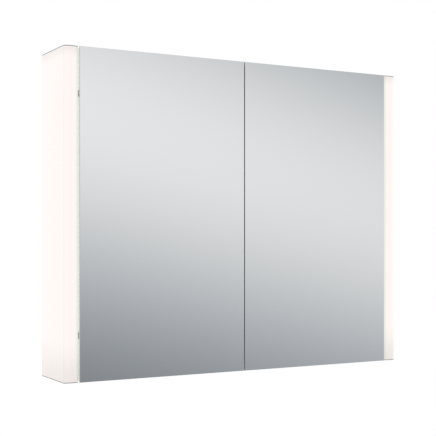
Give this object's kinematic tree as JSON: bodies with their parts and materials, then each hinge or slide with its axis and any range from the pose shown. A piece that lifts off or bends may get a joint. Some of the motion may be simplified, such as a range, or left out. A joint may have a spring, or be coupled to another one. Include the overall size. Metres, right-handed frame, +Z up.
{
  "type": "mirror cabinet",
  "caption": "Wall-hung bathroom mirror cabinet with a pair of handleless mirror doors, a lit opal strip down each side, glass shelves and a rocker switch underneath.",
  "frame": {"origin": "middle of the back panel's outer face, which lies against the wall", "axes": "+X to the right seen from the front, +Y towards the wall, +Z up"},
  "size_m": [0.8, 0.128, 0.65],
  "materials": {
    "mirror_glass": "silvered glass, polished",
    "white_board": "white melamine-faced chipboard, satin",
    "door_board": "white lacquered fibreboard, satin",
    "opal_acrylic": "opal acrylic, lit from inside",
    "anodised_aluminium": "satin anodised",
    "led_board": "white solder mask",
    "cap_plastic": "grey moulded ABS",
    "clear_rubber": "clear soft moulding",
    "hinge_steel": "nickel-plated",
    "shelf_glass": "clear float glass, polished edges",
    "white_plastic": "white moulded ABS",
    "keyhole_steel": "zinc-plated",
    "gland_plastic": "grey moulded nylon"
  },
  "bodies": {
    "cabinet": {"side_panel_left": "white_board", "side_panel_right": "white_board", "top_panel": "white_board", "bottom_panel": "white_board", "back_panel": "white_board", "light_diffuser_left": "opal_acrylic", "light_diffuser_right": "opal_acrylic", "light_carrier_left": "anodised_aluminium", "light_carrier_right": "anodised_aluminium", "driver_cover": "anodised_aluminium", "front_led_board_left": "led_board", "side_led_board_left": "led_board", "front_led_board_right": "led_board", "side_led_board_right": "led_board", "light_cap_bottom_left": "cap_plastic", "light_cap_top_left": "cap_plastic", "light_cap_bottom_right": "cap_plastic", "light_cap_top_right": "cap_plastic", "shelf_1_clip_front_left": "clear_rubber", "shelf_1_clip_rear_left": "clear_rubber", "shelf_2_clip_front_left": "clear_rubber", "shelf_2_clip_rear_left": "clear_rubber", "shelf_1_clip_front_right": "clear_rubber", "shelf_1_clip_rear_right": "clear_rubber", "shelf_2_clip_front_right": "clear_rubber", "shelf_2_clip_rear_right": "clear_rubber", "hinge_arm_lower_left": "hinge_steel", "hinge_plate_lower_left": "hinge_steel", "hinge_arm_upper_left": "hinge_steel", "hinge_plate_upper_left": "hinge_steel", "hinge_arm_lower_right": "hinge_steel", "hinge_plate_lower_right": "hinge_steel", "hinge_arm_upper_right": "hinge_steel", "hinge_plate_upper_right": "hinge_steel", "glass_shelf_1": "shelf_glass", "glass_shelf_2": "shelf_glass", "led_driver": "white_plastic", "switch_housing": "white_plastic", "keyhole_plate_left": "keyhole_steel", "keyhole_plate_right": "keyhole_steel", "cable_gland": "gland_plastic"},
    "left_door": {"front_mirror_left": "mirror_glass", "door_core_left": "door_board", "rear_mirror_left": "mirror_glass", "bumper_bottom_left": "clear_rubber", "bumper_top_left": "clear_rubber", "hinge_cup_lower_left": "hinge_steel", "hinge_pin_lower_left": "hinge_steel", "hinge_cup_upper_left": "hinge_steel", "hinge_pin_upper_left": "hinge_steel"},
    "right_door": {"front_mirror_right": "mirror_glass", "door_core_right": "door_board", "rear_mirror_right": "mirror_glass", "bumper_bottom_right": "clear_rubber", "bumper_top_right": "clear_rubber", "hinge_cup_lower_right": "hinge_steel", "hinge_pin_lower_right": "hinge_steel", "hinge_cup_upper_right": "hinge_steel", "hinge_pin_upper_right": "hinge_steel"},
    "rocker": {"switch_rocker": "white_plastic"}
  },
  "joints": [
    {"name": "left_door_swing", "type": "hinge", "parent": "cabinet", "child": "left_door", "pos_m": [-0.35338, -0.1205, 0], "axis": [0, 0, -1], "range_deg": [0, 95]},
    {"name": "right_door_swing", "type": "hinge", "parent": "cabinet", "child": "right_door", "pos_m": [0.35338, -0.1205, 0], "axis": [0, 0, 1], "range_deg": [0, 95]},
    {"name": "rocker_tip", "type": "hinge", "parent": "cabinet", "child": "rocker", "pos_m": [0.2442, -0.0785, -0.3123], "axis": [1, 0, 0], "range_deg": [-14, 0]}
  ]
}
